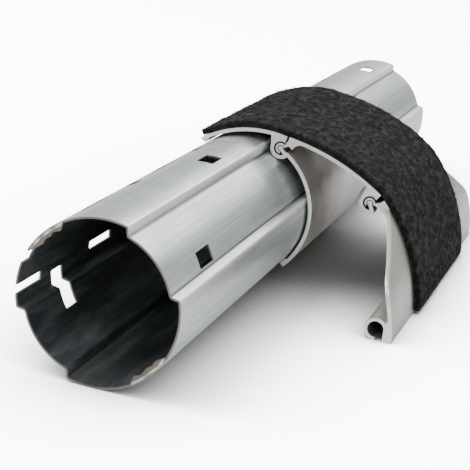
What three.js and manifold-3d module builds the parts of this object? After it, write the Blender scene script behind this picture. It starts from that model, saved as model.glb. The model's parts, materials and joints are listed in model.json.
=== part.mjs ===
// A cut length of roller shutter winding tube with its articulated locking link:
// a ring link on the tube, a middle link and an end link that hook into each other,
// and the felt strip bonded over them. Millimetres, +Z up, tube along +Y.
import * as THREE from "three";
import { mergeVertices } from "three/addons/utils/BufferGeometryUtils.js";
import Module from "manifold-3d";

const wasm = await Module();
wasm.setup();

// ---- Driving dimensions -------------------------------------------------------------------

// Winding tube: roll-formed sheet with two proud and two recessed panels.
const TUBE_LENGTH = 420;
const TUBE_RADIUS = 31;
const TUBE_WALL = 0.8;
const RECESS_DEPTH = 3;
const RECESS_HALF_ANGLE = 30;
const RECESS_CENTRE_ANGLE = 45;
const RISER_SLANT_ANGLE = 2;
const NOSE_ROUND = 1.1;
const RISER_FOOT_ROUND = 1.8;

// Punched holes, each row along the tube at one angle.
const SLOT_PITCH = 35;
const FIRST_SLOT_Y = 27;
const SLOT_ROW_ANGLE = 122.5;
const LONG_SLOT = { length: 25, width: 5 };
const SQUARE_HOLE = { length: 9, width: 9 };
const SIDE_ROW_PITCH = 138;
const TOP_HOLE = { length: 12.5, width: 6.8, firstY: 107, angle: 90 };
const RECESS_HOLE = { length: 14.5, width: 6.3, firstY: 38, angle: 28 };
const NARROW_SLOT = { length: 21, width: 3.3, pitch: 64.5, firstY: 9, angle: 183 };
const STEP_WINDOW = { length: 9.5, width: 15, firstY: 33, angle: 199 };
const END_MARGIN = 6;

// Folded lips and the nick where the cut end ran through punched slots.
const LIP_HEIGHT = 3.6;
const LIP_TAPER = 3;
const LIPS = [
  { from: 121, to: 152 },
  { from: -58, to: -26 },
];
const NICK = { angle: 159, width: 5, depth: 6 };

// Links: aluminium extrusions, all cut to the same width except the end link's foot.
const LINK_WIDTH = 105;
const LINK_FRONT_Y = (TUBE_LENGTH - LINK_WIDTH) / 2;
const SKIN = 1.6;
const SEAT_GAP = 0.3;

// Hook-in hinge: the parent's socket wall turns in to a core, the child's hook wraps it.
const SOCKET_RADIUS = 3.1;
const SOCKET_WALL = 1.6;
const HOOK_CLEARANCE = 0.4;
const HOOK_WALL = 1.2;
const HINGE_DEPTH = 6;
const PARENT_FACE = 1;
const CHILD_FACE = 2.4;
const MOUTH_DROP = 0.8;
const NECK_REACH = 2.7;
const ROOT_FLARE = 1.5;
const ROOT_LENGTH = 8.2;
const PRONG_REACH = 5.5;
const HOOK_ARC = [28, 275];
const WELD_OVERLAP = 0.05;

// Ring link.
const HINGE_ANGLE = 62;
const RING_END_SLOPE = -12;
const LANDING_GAP = 1.3;
const LANDING_OVERRUN = 6.2;
const ARM_GAP = 1;
const ARM_TIP_ANGLE = -44;
const ARM_ROOT_BACK = 6;
const PAD_SPAN = 6;

// Middle link.
const MIDDLE_SLOPES = [-8, -34.5];
const MIDDLE_SKIN_RADIUS = 102;

// End link.
const END_START_SLOPE = -47;
const END_SKIN_RADIUS = 77;
const FOOT_WIDTH = 192;
const SHOULDER_DROP = 5;
const SHOULDER_LENGTH = 16.5;
const SHOULDER_ROUND = 12;
const CHANNEL_RADIUS = 3.4;
const CHANNEL_WALL = 1.4;
const CHANNEL_INSET = 7.4;
const CHANNEL_MOUTH = 3.2;

// Felt strip, one piece for each link.
const FELT_THICKNESS = 2.7;
const FELT_GAP = 0.3;
const FELT_END_ANGLES = { parent: 84, child: 69 };
const FELT_LIFT = 1;

// ---- Materials ----------------------------------------------------------------------------

const material = (color, roughness, metalness) =>
  new THREE.MeshStandardMaterial({ color, roughness, metalness });
const galvanised = () => material(0xc3cbcb, 0.42, 0.85);
const aluminium = () => material(0xc2c0bb, 0.38, 0.8);
const felt = () => material(0x2b2a28, 0.95, 0);

// ---- Small geometry helpers (points are x, z in the cross-section) ------------------------

const rad = THREE.MathUtils.degToRad;
const at = (x, z) => new THREE.Vector2(x, z);
const polar = (radius, angle, centre = at(0, 0)) =>
  at(centre.x + radius * Math.cos(rad(angle)), centre.y + radius * Math.sin(rad(angle)));

// Points of an arc, both ends included.
function arc(centre, radius, from, to, step = 3) {
  const count = Math.max(1, Math.ceil(Math.abs(to - from) / step - 1e-6));
  const points = [];
  for (let i = 0; i <= count; i++) {
    points.push(polar(radius, from + ((to - from) * i) / count, centre));
  }
  return points;
}

// Points all round a circle, the first one not repeated.
const circle = (centre, radius, step = 8) => arc(centre, radius, 0, 360 - step, step);

// Points of a corner that is rounded off between a start and an end.
const corner = (start, tip, end, count = 4) =>
  new THREE.QuadraticBezierCurve(start, tip, end).getPoints(count);

// A curved strip between two radii about one centre.
const band = (centre, inner, outer, from, to, step) => [
  ...arc(centre, outer, from, to, step),
  ...arc(centre, inner, to, from, step),
];

function toSolid(geometry) {
  geometry.deleteAttribute("normal");
  geometry.deleteAttribute("uv");
  const merged = mergeVertices(geometry, 1e-4);
  const mesh = new wasm.Mesh({
    numProp: 3,
    vertProperties: new Float32Array(merged.attributes.position.array),
    triVerts: new Uint32Array(merged.index.array),
  });
  return new wasm.Manifold(mesh);
}

// A prism of the section outline along the tube, from one y to another.
function prism(outline, fromY, toY) {
  const geometry = new THREE.ExtrudeGeometry(new THREE.Shape(outline), {
    depth: toY - fromY,
    bevelEnabled: false,
    steps: 1,
  });
  geometry.rotateX(Math.PI / 2);
  geometry.translate(0, toY, 0);
  return toSolid(geometry);
}

const join = (solids) => solids.reduce((all, solid) => all.add(solid));
const cut = (solid, cutters) => cutters.reduce((rest, cutter) => rest.subtract(cutter), solid);

function meshOf(name, solid, surface) {
  const { vertProperties, triVerts } = solid.getMesh();
  const indexed = new THREE.BufferGeometry();
  indexed.setAttribute("position", new THREE.BufferAttribute(vertProperties, 3));
  indexed.setIndex(new THREE.BufferAttribute(triVerts, 1));
  const geometry = indexed.toNonIndexed();
  geometry.computeVertexNormals();
  const mesh = new THREE.Mesh(geometry, surface);
  mesh.name = name;
  return mesh;
}

// A frame that sits in the section at a hinge and follows a skin's slope there.
class SkinFrame {
  constructor(origin, slope) {
    this.origin = origin;
    this.slope = slope;
  }
  // A point from its distances along the skin and out through it.
  point(along, out) {
    return at(along, out).rotateAround(at(0, 0), rad(this.slope)).add(this.origin);
  }
  outline(pairs) {
    return pairs.map(([along, out]) => this.point(along, out));
  }
  arc(radius, from, to, step = 8) {
    return arc(this.origin, radius, from + this.slope, to + this.slope, step);
  }
}

// The centre of a skin's outer arc, whose tangent has the given slope at a point.
const arcCentre = (point, radius, slope) => polar(-radius, 90 + slope, point);

// The radius of an arc that leaves a point at a slope and comes down touching a circle round the
// tube's centre from outside.
function landingRadius(point, slope, circle) {
  const rise = point.dot(polar(1, 90 + slope));
  return (point.lengthSq() - circle * circle) / (2 * (rise - circle));
}

// ---- Winding tube -------------------------------------------------------------------------

// The closed outline of the tube's section, moved inwards by an offset.
function tubeOutline(offset) {
  const proud = TUBE_RADIUS - offset;
  const recessed = TUBE_RADIUS - RECESS_DEPTH - offset;
  const shift = THREE.MathUtils.radToDeg(offset / proud);
  const nose = Math.max(0.3, NOSE_ROUND - offset);
  const foot = RISER_FOOT_ROUND + offset;
  const half = RECESS_HALF_ANGLE + shift;
  const base = half - RISER_SLANT_ANGLE;
  const noseTurn = THREE.MathUtils.radToDeg(nose / proud);
  const footTurn = THREE.MathUtils.radToDeg(foot / recessed);
  const points = [];
  for (const centre of [RECESS_CENTRE_ANGLE, RECESS_CENTRE_ANGLE + 180]) {
    const tip = (side) => polar(proud, centre + side * half);
    const root = (side) => polar(recessed, centre + side * base);
    const run = root(1).distanceTo(tip(1));
    const down = (side, distance) => tip(side).lerp(root(side), distance / run);
    const footTop = nose + foot * 0.4;
    const [recessStart, recessEnd] = [centre - base + footTurn, centre + base - footTurn];
    const [proudEnd, proudStart] = [centre - half - noseTurn, centre + half + noseTurn];
    points.push(...corner(polar(proud, proudEnd), tip(-1), down(-1, nose)));
    points.push(...corner(down(-1, footTop), root(-1), polar(recessed, recessStart)));
    points.push(...arc(at(0, 0), recessed, recessStart, recessEnd).slice(1, -1));
    points.push(...corner(polar(recessed, recessEnd), root(1), down(1, footTop)));
    points.push(...corner(down(1, nose), tip(1), polar(proud, proudStart)));
    points.push(...arc(at(0, 0), proud, proudStart, proudEnd + 180).slice(1, -1));
  }
  return points;
}

// A cutter that punches a rectangular hole through the wall at an angle round the tube.
function punch({ length, width }, angle, y, depth = 10) {
  const geometry = new THREE.BoxGeometry(depth, length, width);
  geometry.translate(TUBE_RADIUS, 0, 0);
  geometry.rotateY(-rad(angle));
  geometry.translate(0, y, 0);
  return toSolid(geometry);
}

// Places along the tube at one pitch, keeping clear of the far end.
function stations(first, pitch, length) {
  const places = [];
  for (let y = first; y + length / 2 < TUBE_LENGTH - END_MARGIN; y += pitch) {
    places.push(y);
  }
  return places;
}

function tubeCutters() {
  const cutters = [];
  stations(FIRST_SLOT_Y, SLOT_PITCH, LONG_SLOT.length).forEach((y, i) => {
    cutters.push(punch(i % 2 ? SQUARE_HOLE : LONG_SLOT, SLOT_ROW_ANGLE, y));
  });
  for (const y of stations(TOP_HOLE.firstY, SIDE_ROW_PITCH, TOP_HOLE.length)) {
    cutters.push(punch(TOP_HOLE, TOP_HOLE.angle, y));
    cutters.push(punch(TOP_HOLE, TOP_HOLE.angle + 180, y));
  }
  for (const row of [RECESS_HOLE, STEP_WINDOW]) {
    for (const y of stations(row.firstY, SIDE_ROW_PITCH, row.length)) {
      cutters.push(punch(row, row.angle, y, 14));
    }
  }
  for (const y of stations(NARROW_SLOT.firstY, NARROW_SLOT.pitch, NARROW_SLOT.length)) {
    cutters.push(punch(NARROW_SLOT, NARROW_SLOT.angle, y));
  }
  cutters.push(punch({ length: 2 * NICK.depth, width: NICK.width }, NICK.angle, 0));
  return cutters;
}

function rollerTube() {
  const outside = prism(tubeOutline(0), 0, TUBE_LENGTH);
  const inside = prism(tubeOutline(TUBE_WALL), -1, TUBE_LENGTH + 1);
  const shell = cut(outside.subtract(inside), tubeCutters());
  const outer = TUBE_RADIUS - TUBE_WALL / 2;
  const lips = LIPS.map(({ from, to }) => {
    const edge = arc(at(0, 0), outer, from, to);
    const inner = arc(at(0, 0), outer - LIP_HEIGHT, to - LIP_TAPER, from + LIP_TAPER);
    return prism([...edge, ...inner], 0, TUBE_WALL);
  });
  return join([shell, ...lips]);
}

// ---- Hook-in hinge ------------------------------------------------------------------------

const socketOuter = SOCKET_RADIUS + SOCKET_WALL;
const hookOuter = SOCKET_RADIUS - HOOK_CLEARANCE;
const hookInner = hookOuter - HOOK_WALL;
const coreRadius = hookInner - HOOK_CLEARANCE;

// The parent's half: a socket under the end of its skin, open towards the child.
function socket(frame, fromY, toY) {
  const reach = socketOuter + 1;
  const root = frame.outline([
    [-socketOuter, 0],
    [0, 0],
    [PARENT_FACE, SOCKET_RADIUS],
    [PARENT_FACE, HINGE_DEPTH - WELD_OVERLAP],
    [-socketOuter - ROOT_FLARE, HINGE_DEPTH - SKIN / 2],
  ]);
  const opening = frame.outline([
    [PARENT_FACE, HINGE_DEPTH + 1],
    [PARENT_FACE, 0],
    [SOCKET_RADIUS - 0.1, -MOUTH_DROP],
    [reach, -MOUTH_DROP - (reach - SOCKET_RADIUS)],
    [reach + 2, HINGE_DEPTH + 1],
  ]);
  const neck = frame.outline([
    [coreRadius - WELD_OVERLAP, 0],
    [SOCKET_RADIUS - 0.1, -MOUTH_DROP],
    [SOCKET_RADIUS + 0.5, -MOUTH_DROP - 0.6],
    [NECK_REACH, -NECK_REACH],
    [0.2, WELD_OVERLAP - coreRadius],
  ]);
  const round = prism(circle(frame.origin, socketOuter), fromY, toY);
  const cavity = prism(circle(frame.origin, SOCKET_RADIUS), fromY - 1, toY + 1);
  const core = prism(circle(frame.origin, coreRadius, 15), fromY, toY);
  const wall = cut(prism(root, fromY, toY).add(round), [cavity, prism(opening, fromY - 1, toY + 1)]);
  return join([wall, core, prism(neck, fromY, toY)]);
}

// The child's half: the hook that wraps the core, its thick root and the outer prong.
function hook(frame, skinBelow, fromY, toY) {
  const [start, end] = HOOK_ARC;
  const curl = [...frame.arc(hookOuter, start, end), ...frame.arc(hookInner, end, start)];
  const drop = skinBelow(ROOT_LENGTH);
  const root = frame.outline([
    // From inside the curl, under the short outer prong, and along the skin's underside.
    [hookOuter - HOOK_WALL / 2 - 0.5, hookOuter / 2 - 0.2],
    [SOCKET_RADIUS + 0.2, 1.9],
    [SOCKET_RADIUS + 0.8, 1.75],
    [PRONG_REACH - 1, 1.1],
    [PRONG_REACH - 0.3, 1.2],
    [PRONG_REACH, 2.2],
    [PRONG_REACH + 0.9, 3.3],
    [ROOT_LENGTH, HINGE_DEPTH - SKIN - drop],
    // Back along the middle of the skin, and down its end face.
    [ROOT_LENGTH, HINGE_DEPTH - SKIN / 2 - drop],
    [CHILD_FACE, HINGE_DEPTH - SKIN / 2],
    [CHILD_FACE, HINGE_DEPTH - SKIN],
    [CHILD_FACE - 0.8, 2.2],
  ]);
  return prism(curl, fromY, toY).add(prism(root, fromY, toY));
}

// How far an arc of a given radius has dropped below its tangent after a distance.
const arcDrop = (radius) => (distance) => radius - Math.sqrt(radius * radius - distance * distance);

// ---- Where the links lie ------------------------------------------------------------------

const linkBackY = LINK_FRONT_Y + LINK_WIDTH;
const hingeRadius = TUBE_RADIUS - RECESS_DEPTH + SEAT_GAP + socketOuter;
const firstHinge = polar(hingeRadius, HINGE_ANGLE);

const ringEnd = new SkinFrame(firstHinge, RING_END_SLOPE);
const ringCorner = ringEnd.point(PARENT_FACE, HINGE_DEPTH);
const ringSkinRadius = landingRadius(ringCorner, RING_END_SLOPE, TUBE_RADIUS + LANDING_GAP + SKIN);
const ringCentre = arcCentre(ringCorner, ringSkinRadius, RING_END_SLOPE);
const landingAngle = THREE.MathUtils.radToDeg(ringCentre.clone().negate().angle());
const ringTipAngle = landingAngle + LANDING_OVERRUN;

const middleStart = new SkinFrame(firstHinge, MIDDLE_SLOPES[0]);
const middleCorner = middleStart.point(CHILD_FACE, HINGE_DEPTH);
const middleCentre = arcCentre(middleCorner, MIDDLE_SKIN_RADIUS, MIDDLE_SLOPES[0]);
const middleTip = polar(MIDDLE_SKIN_RADIUS, 90 + MIDDLE_SLOPES[1], middleCentre);
const towardsHinge = new SkinFrame(at(0, 0), MIDDLE_SLOPES[1]).point(-PARENT_FACE, -HINGE_DEPTH);
const secondHinge = middleTip.clone().add(towardsHinge);
const middleEnd = new SkinFrame(secondHinge, MIDDLE_SLOPES[1]);

const endStart = new SkinFrame(secondHinge, END_START_SLOPE);
const endCorner = endStart.point(CHILD_FACE, HINGE_DEPTH);
const endCentre = arcCentre(endCorner, END_SKIN_RADIUS, END_START_SLOPE);

// The tube and the end link's foot stand on one floor, where the end link's skin stops.
const floor = -TUBE_RADIUS;
const toeAngle = THREE.MathUtils.radToDeg(Math.asin((floor - endCentre.y) / END_SKIN_RADIUS));
const toe = polar(END_SKIN_RADIUS, toeAngle, endCentre);

// ---- Links --------------------------------------------------------------------------------

function ringLink() {
  const [y0, y1] = [LINK_FRONT_Y, linkBackY];
  const start = 90 + RING_END_SLOPE;
  const skin = band(ringCentre, ringSkinRadius - SKIN, ringSkinRadius, start, ringTipAngle, 1.5);
  const tubeCentre = at(0, 0);
  const seat = TUBE_RADIUS + SEAT_GAP;
  const tip = polar(ringSkinRadius, ringTipAngle, ringCentre);
  const tipAngle = THREE.MathUtils.radToDeg(tip.angle());
  const pad = band(tubeCentre, seat, tip.length() - SKIN / 2, tipAngle - PAD_SPAN, tipAngle - 0.8, 1.5);
  const armInner = TUBE_RADIUS + ARM_GAP;
  const armTop = HINGE_ANGLE - ARM_ROOT_BACK;
  const arm = band(tubeCentre, armInner, armInner + SKIN, ARM_TIP_ANGLE, armTop);
  const armPad = band(tubeCentre, seat, armInner + SKIN / 2, ARM_TIP_ANGLE, ARM_TIP_ANGLE + PAD_SPAN);
  const bars = [skin, pad, arm, armPad].map((outline) => prism(outline, y0, y1));
  const hookSpace = prism(circle(firstHinge, SOCKET_RADIUS), y0 - 1, y1 + 1);
  return cut(join(bars), [hookSpace]).add(socket(ringEnd, y0, y1));
}

function middleLink() {
  const [y0, y1] = [LINK_FRONT_Y, linkBackY];
  const [from, to] = MIDDLE_SLOPES.map((slope) => 90 + slope);
  const skin = band(middleCentre, MIDDLE_SKIN_RADIUS - SKIN, MIDDLE_SKIN_RADIUS, to, from, 1.5);
  const parts = [prism(skin, y0, y1), socket(middleEnd, y0, y1)];
  return join([...parts, hook(middleStart, arcDrop(MIDDLE_SKIN_RADIUS), y0, y1)]);
}

// The end link's outline seen from the side: narrow at the hinge, wide at the foot.
function endLinkSilhouette(top, bottom) {
  const half = LINK_WIDTH / 2;
  const wide = FOOT_WIDTH / 2;
  const shoulder = top - SHOULDER_DROP;
  const side = (sign) => [
    at(sign * half, top + 1),
    at(sign * half, shoulder),
    ...corner(
      at(sign * (wide - SHOULDER_ROUND * 0.8), shoulder - SHOULDER_LENGTH),
      at(sign * wide, shoulder - SHOULDER_LENGTH - SHOULDER_ROUND * 0.35),
      at(sign * wide, shoulder - SHOULDER_LENGTH - SHOULDER_ROUND),
      8,
    ),
    at(sign * wide, bottom - 1),
  ];
  return [...side(-1), ...side(1).reverse()];
}

function endLink() {
  const middleY = (LINK_FRONT_Y + linkBackY) / 2;
  const [y0, y1] = [middleY - FOOT_WIDTH / 2, middleY + FOOT_WIDTH / 2];
  const past = toeAngle - 1;
  const skin = band(endCentre, END_SKIN_RADIUS - SKIN, END_SKIN_RADIUS, past, 90 + END_START_SLOPE, 1.5);
  const channelOuter = CHANNEL_RADIUS + CHANNEL_WALL;
  const channel = at(toe.x - CHANNEL_INSET, floor + channelOuter);
  const heel = [
    at(channel.x, floor),
    at(toe.x - 0.2, floor),
    at(toe.x - 0.9, channel.y + 2),
    at(toe.x - SKIN - 0.6, channel.y + channelOuter),
    channel,
  ];
  const bottom = prism([at(0, floor - 9), at(200, floor - 9), at(200, floor), at(0, floor)], y0 - 1, y1 + 1);
  const mouthRight = channel.x + CHANNEL_RADIUS;
  const mouth = [
    at(mouthRight - CHANNEL_MOUTH, floor - 2),
    at(mouthRight, floor - 2),
    at(mouthRight, channel.y),
    at(mouthRight - CHANNEL_MOUTH, channel.y),
  ];
  const body = join([
    prism(skin, y0, y1),
    prism(circle(channel, channelOuter), y0, y1),
    prism(heel, y0, y1),
    hook(endStart, arcDrop(END_SKIN_RADIUS), y0, y1),
  ]);
  const space = [circle(channel, CHANNEL_RADIUS), mouth].map((outline) => prism(outline, y0 - 1, y1 + 1));
  const hollowed = cut(body, [bottom, ...space]);
  const shape = new THREE.Shape(endLinkSilhouette(endStart.point(0, HINGE_DEPTH).y, floor - 2));
  const side = new THREE.ExtrudeGeometry(shape, { depth: 200, bevelEnabled: false });
  side.rotateX(Math.PI / 2);
  side.rotateZ(Math.PI / 2);
  side.translate(0, middleY, 0);
  return hollowed.intersect(toSolid(side));
}

// ---- Felt ---------------------------------------------------------------------------------

// A felt piece over an arc, its ends cut back along rays from the hinges.
function feltPiece(centre, radius, from, to, keepers) {
  const inner = radius + FELT_GAP;
  const strip = prism(band(centre, inner, inner + FELT_THICKNESS, from, to, 1.5), LINK_FRONT_Y, linkBackY);
  return cut(strip, keepers);
}

// Everything beyond a ray from a hinge, on the side of the neighbouring link.
function beyondRay(frame, angle, side) {
  const reach = 30;
  const far = angle + side * 90;
  const outline = [polar(0, 0, frame.origin), polar(reach, angle + frame.slope, frame.origin)];
  outline.push(polar(reach * 1.4, (angle + far) / 2 + frame.slope, frame.origin));
  outline.push(polar(reach, far + frame.slope, frame.origin));
  if (side < 0) outline.reverse();
  return prism(outline, LINK_FRONT_Y - 1, linkBackY + 1);
}

function feltRing() {
  const start = 90 + RING_END_SLOPE;
  const ray = beyondRay(ringEnd, FELT_END_ANGLES.parent, -1);
  return feltPiece(ringCentre, ringSkinRadius, start - 3, ringTipAngle, [ray]);
}

function feltMiddle() {
  const [from, to] = MIDDLE_SLOPES.map((slope) => 90 + slope);
  const rays = [
    beyondRay(middleStart, FELT_END_ANGLES.child, 1),
    beyondRay(middleEnd, FELT_END_ANGLES.parent, -1),
  ];
  return feltPiece(middleCentre, MIDDLE_SKIN_RADIUS, to - 3, from + 1, rays);
}

function feltEnd() {
  const ray = beyondRay(endStart, FELT_END_ANGLES.child, 1);
  const lift = THREE.MathUtils.radToDeg(FELT_LIFT / END_SKIN_RADIUS);
  return feltPiece(endCentre, END_SKIN_RADIUS, toeAngle + lift, 91 + END_START_SLOPE, [ray]);
}

// ---- Assembly -----------------------------------------------------------------------------

const part = new THREE.Group();
part.name = "winding_tube_with_lock";
part.add(meshOf("roller_tube", rollerTube(), galvanised()));
part.add(meshOf("ring_link", ringLink(), aluminium()));
part.add(meshOf("middle_link", middleLink(), aluminium()));
part.add(meshOf("end_link", endLink(), aluminium()));
part.add(meshOf("felt_ring", feltRing(), felt()));
part.add(meshOf("felt_middle", feltMiddle(), felt()));
part.add(meshOf("felt_end", feltEnd(), felt()));

// The origin is the middle of the underside of the part's box.
const box = new THREE.Box3().setFromObject(part);
const middle = box.getCenter(new THREE.Vector3());
part.position.set(-middle.x, -middle.y, -box.min.z);

export default part;
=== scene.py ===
# %% [markdown]
# # A roller shutter winding tube with its locking link
#
# The object is a short length of roll-formed steel tube. Three aluminium extrusions hook together
# into a curved arm that starts on the tube and stands on its foot, and a strip of needled felt is
# bonded over the arm so that the curtain doesn't rattle on it.
#
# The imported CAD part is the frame: it says where everything is and how it turns. This lesson makes
# the pieces that are looked at, in metres, around that frame.

# %% Load the frame
import json
import math

import bmesh
import bpy
import numpy as np
from mathutils import Matrix, Vector, kdtree, noise


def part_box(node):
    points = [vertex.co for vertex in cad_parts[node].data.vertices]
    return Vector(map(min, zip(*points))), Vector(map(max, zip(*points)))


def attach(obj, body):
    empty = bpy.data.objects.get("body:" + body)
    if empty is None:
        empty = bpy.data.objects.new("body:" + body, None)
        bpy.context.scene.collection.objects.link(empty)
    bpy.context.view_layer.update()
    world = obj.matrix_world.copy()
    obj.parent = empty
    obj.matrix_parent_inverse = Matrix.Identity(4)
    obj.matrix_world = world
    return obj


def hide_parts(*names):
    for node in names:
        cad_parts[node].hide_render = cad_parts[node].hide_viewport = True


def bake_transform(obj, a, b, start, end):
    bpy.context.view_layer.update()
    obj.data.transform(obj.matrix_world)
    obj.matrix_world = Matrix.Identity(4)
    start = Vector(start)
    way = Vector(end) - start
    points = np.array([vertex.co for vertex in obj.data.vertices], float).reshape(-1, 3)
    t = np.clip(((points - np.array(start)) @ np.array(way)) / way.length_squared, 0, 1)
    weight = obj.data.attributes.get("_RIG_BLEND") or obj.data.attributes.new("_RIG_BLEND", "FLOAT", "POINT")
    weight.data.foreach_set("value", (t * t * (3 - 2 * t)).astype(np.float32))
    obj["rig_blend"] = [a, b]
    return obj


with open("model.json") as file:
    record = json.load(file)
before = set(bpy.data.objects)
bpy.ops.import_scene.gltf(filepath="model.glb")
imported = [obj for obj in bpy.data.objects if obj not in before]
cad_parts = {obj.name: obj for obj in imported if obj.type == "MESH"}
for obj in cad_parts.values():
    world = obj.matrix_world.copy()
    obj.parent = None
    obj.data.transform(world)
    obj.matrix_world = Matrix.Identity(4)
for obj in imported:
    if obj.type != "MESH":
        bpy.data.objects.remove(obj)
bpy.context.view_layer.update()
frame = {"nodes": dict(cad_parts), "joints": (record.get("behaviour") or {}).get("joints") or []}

# %% Sizes that the frame gives
MM = 0.001
tube_low, tube_high = (Vector(corner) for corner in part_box("roller_tube"))
tube_centre = (tube_low + tube_high) / 2
TUBE_LENGTH = tube_high.y - tube_low.y
TUBE_RADIUS = (tube_high.z - tube_low.z) / 2
link_low, link_high = (Vector(corner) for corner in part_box("middle_link"))
hinges = {joint["name"]: Vector(joint["pos_m"]) for joint in frame["joints"]}
print("tube", round(TUBE_LENGTH / MM), "mm long,", round(2 * TUBE_RADIUS / MM), "mm across")
print("hinges", {name: tuple(round(v / MM, 2) for v in place) for name, place in hinges.items()})

# %% [markdown]
# ## Two helpers for node trees
#
# Both geometry trees and shader trees are built in code here. `put` adds a node, sets its options,
# and fills or links its inputs in one go, so that each tree below reads as a short recipe. The
# alternative is to draw the trees by hand in the editor and append them from a file, but a script
# that builds its own trees can be read, changed and run anywhere.


# %% Node tree helpers
def new_tree(name, kind, inputs, outputs):
    tree = bpy.data.node_groups.new(name, kind)
    for label, socket, value in inputs:
        made = tree.interface.new_socket(label, in_out="INPUT", socket_type=socket)
        if value is not None:
            made.default_value = value
    for label, socket in outputs:
        tree.interface.new_socket(label, in_out="OUTPUT", socket_type=socket)
    tree.nodes.new("NodeGroupInput")
    tree.nodes.new("NodeGroupOutput")
    return tree


def fill(tree, node, inputs):
    for key, value in inputs.items():
        for one in value if isinstance(value, list) else [value]:
            if isinstance(one, bpy.types.NodeSocket):
                tree.links.new(one, node.inputs[key])
            else:
                node.inputs[key].default_value = one


def put(tree, kind, inputs=None, **settings):
    node = tree.nodes.new(kind)
    for key, value in settings.items():
        setattr(node, key, value)
    fill(tree, node, inputs or {})
    return node


def sums(tree, operation, *values, **settings):
    inputs = dict(enumerate(values))
    return put(tree, "ShaderNodeMath", inputs, operation=operation, **settings).outputs[0]


def given(tree):
    return tree.nodes["Group Input"].outputs


def mix_color(tree, factor, first, second):
    """A colour mix. The mix node has a set of sockets for each data type: 6 and 7 are its colours."""
    return put(tree, "ShaderNodeMix", {0: factor, 6: first, 7: second}, data_type="RGBA").outputs[2]


def scaled(tree, value, low, high, start=0.0, end=1.0):
    inputs = {"Value": value, "From Min": start, "From Max": end, "To Min": low, "To Max": high}
    return put(tree, "ShaderNodeMapRange", inputs).outputs[0]


def vectors(tree, operation, first, second):
    """Vector maths, where SCALE takes a plain number as its second value."""
    inputs = {0: first, "Scale" if operation == "SCALE" else 1: second}
    return put(tree, "ShaderNodeVectorMath", inputs, operation=operation).outputs[0]


def xyz(tree, **axes):
    return put(tree, "ShaderNodeCombineXYZ", axes).outputs[0]


def noise_at(tree, place, scale, detail, **shape):
    inputs = {"Vector": place, "Scale": scale, "Detail": detail}
    inputs.update({key.title(): value for key, value in shape.items()})
    return put(tree, "ShaderNodeTexNoise", inputs).outputs["Fac"]


def transformed(tree, geometry, change, value):
    """The geometry after one change, which is its Translation, Rotation or Scale."""
    return put(tree, "GeometryNodeTransform", {"Geometry": geometry, change: value}).outputs[0]


def rectangle_curve(tree, width, height):
    inputs = {"Width": width, "Height": height}
    return put(tree, "GeometryNodeCurvePrimitiveQuadrilateral", inputs, mode="RECTANGLE").outputs[0]


def circle_curve(tree, points, radius):
    inputs = {"Resolution": points, "Radius": radius}
    return put(tree, "GeometryNodeCurvePrimitiveCircle", inputs, mode="RADIUS").outputs[0]


def sweep(tree, path, profile, capped):
    inputs = {"Curve": path, "Profile Curve": profile, "Fill Caps": capped}
    return put(tree, "GeometryNodeCurveToMesh", inputs).outputs[0]


def random_between(tree, low, high, seed):
    """A random number. The node has a set of sockets for each data type: 2 and 3 are its floats."""
    inputs = {2: low, 3: high, "Seed": seed}
    return put(tree, "FunctionNodeRandomValue", inputs, data_type="FLOAT").outputs[1]


def coated(tree, geometry, material):
    """The geometry with its copies made real, in a material."""
    real = put(tree, "GeometryNodeRealizeInstances", {"Geometry": geometry}).outputs[0]
    return put(tree, "GeometryNodeSetMaterial", {"Geometry": real, "Material": material}).outputs[0]


def give(tree, **outputs):
    named = {key.replace("_", " "): value for key, value in outputs.items()}
    fill(tree, tree.nodes["Group Output"], named)


# %% [markdown]
# ## Pieces as plain meshes
#
# A finished piece is a plain mesh whose object sits at the origin. `bake` evaluates an object with
# its modifiers and keeps only the result, and `finish_piece` gives it smooth shading with sharp
# edges wherever two faces meet at more than a set angle, which is how a pressed or sawn edge reads.


# %% Mesh helpers
def collect(obj):
    bpy.context.scene.collection.objects.link(obj)
    return obj


def bake(obj, name):
    bpy.context.view_layer.update()
    evaluated = obj.evaluated_get(bpy.context.evaluated_depsgraph_get())
    mesh = bpy.data.meshes.new_from_object(evaluated)
    mesh.name = name
    bpy.data.objects.remove(obj)
    return collect(bpy.data.objects.new(name, mesh))


def finish_piece(obj, sharp_degrees=35):
    obj.data.shade_smooth()
    obj.data.set_sharp_from_angle(angle=math.radians(sharp_degrees))
    return obj


def store(mesh, name, values, domain="POINT"):
    layer = mesh.attributes.new(name, "FLOAT", domain)
    layer.data.foreach_set("value", np.asarray(values, dtype=np.float32))


def closed_mesh(name, vertices, faces, material):
    """A mesh from points and faces, with every face turned outwards."""
    mesh = bpy.data.meshes.new(name)
    mesh.from_pydata(vertices, [], faces)
    work = bmesh.new()
    work.from_mesh(mesh)
    bmesh.ops.recalc_face_normals(work, faces=work.faces)
    work.to_mesh(mesh)
    work.free()
    mesh.materials.append(material)
    return mesh


def faces_between(loops, around):
    """The faces between neighbouring closed loops that all have as many points."""
    faces = []
    for i in range(loops - 1):
        for j in range(around):
            k = (j + 1) % around
            faces.append((i * around + j, i * around + k, (i + 1) * around + k, (i + 1) * around + j))
    return faces


def triangles(obj):
    obj.data.calc_loop_triangles()
    return len(obj.data.loop_triangles)


# %% [markdown]
# ## Shared effects of the metals
#
# Rolled sheet and extruded bar have the same habit: their marks run lengthwise, because the metal
# slid through rolls or a die. One shader group makes those streaks from noise that is squeezed
# across the metal and stretched along it, and the tube and the links use it with their own values.
# A scratch texture image could do this too, but noise has no seams and no resolution.


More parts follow.
